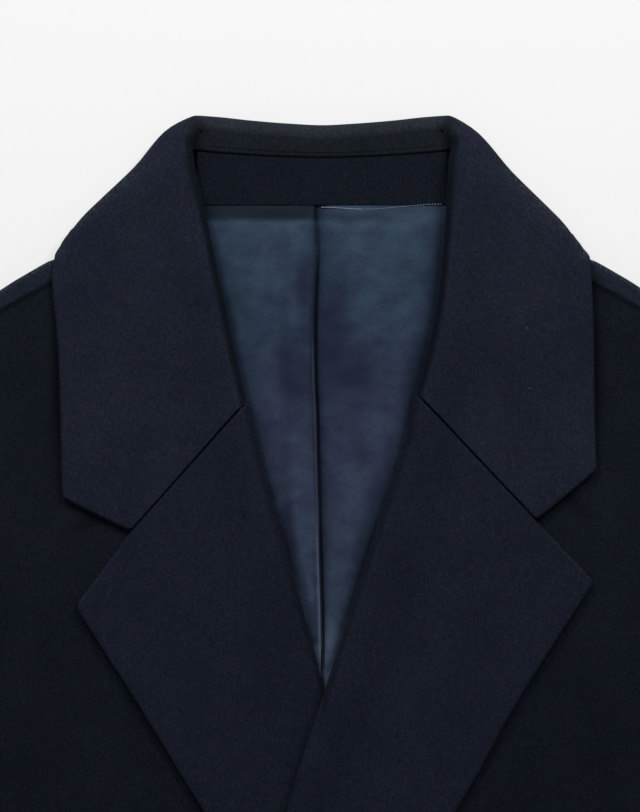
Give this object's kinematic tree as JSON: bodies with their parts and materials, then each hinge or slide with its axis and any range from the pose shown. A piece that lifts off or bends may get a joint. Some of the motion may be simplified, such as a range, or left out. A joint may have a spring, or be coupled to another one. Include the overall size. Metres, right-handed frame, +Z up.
{
  "type": "overcoat",
  "caption": "Single-breasted wool overcoat lying flat on its back, notch collar and lapels turned back, lining showing in the open neck.",
  "frame": {"origin": "centre of the bounding box, on the surface that the coat lies on", "axes": "+X to the wearer's left and the longer way, from cuff to cuff; +Y from hem to collar; +Z up, out of the coat's front, the thinnest way"},
  "size_m": [1.3604, 1.0466, 0.0295],
  "materials": {
    "wool": "dark navy brushed wool, matte with a short soft nap",
    "lining": "slate blue satin lining with a soft sheen",
    "button": "dark navy horn-like plastic, semi-gloss"
  },
  "bodies": {
    "root": {"back": "wool", "front_left": "wool", "front_right": "wool", "lapel_left": "wool", "lapel_right": "wool", "collar": "wool", "back_neck_facing": "wool", "lining_left": "lining", "lining_right": "lining", "sleeve_left": "wool", "sleeve_right": "wool", "button_1": "button", "button_2": "button", "button_3": "button"}
  },
  "joints": []
}
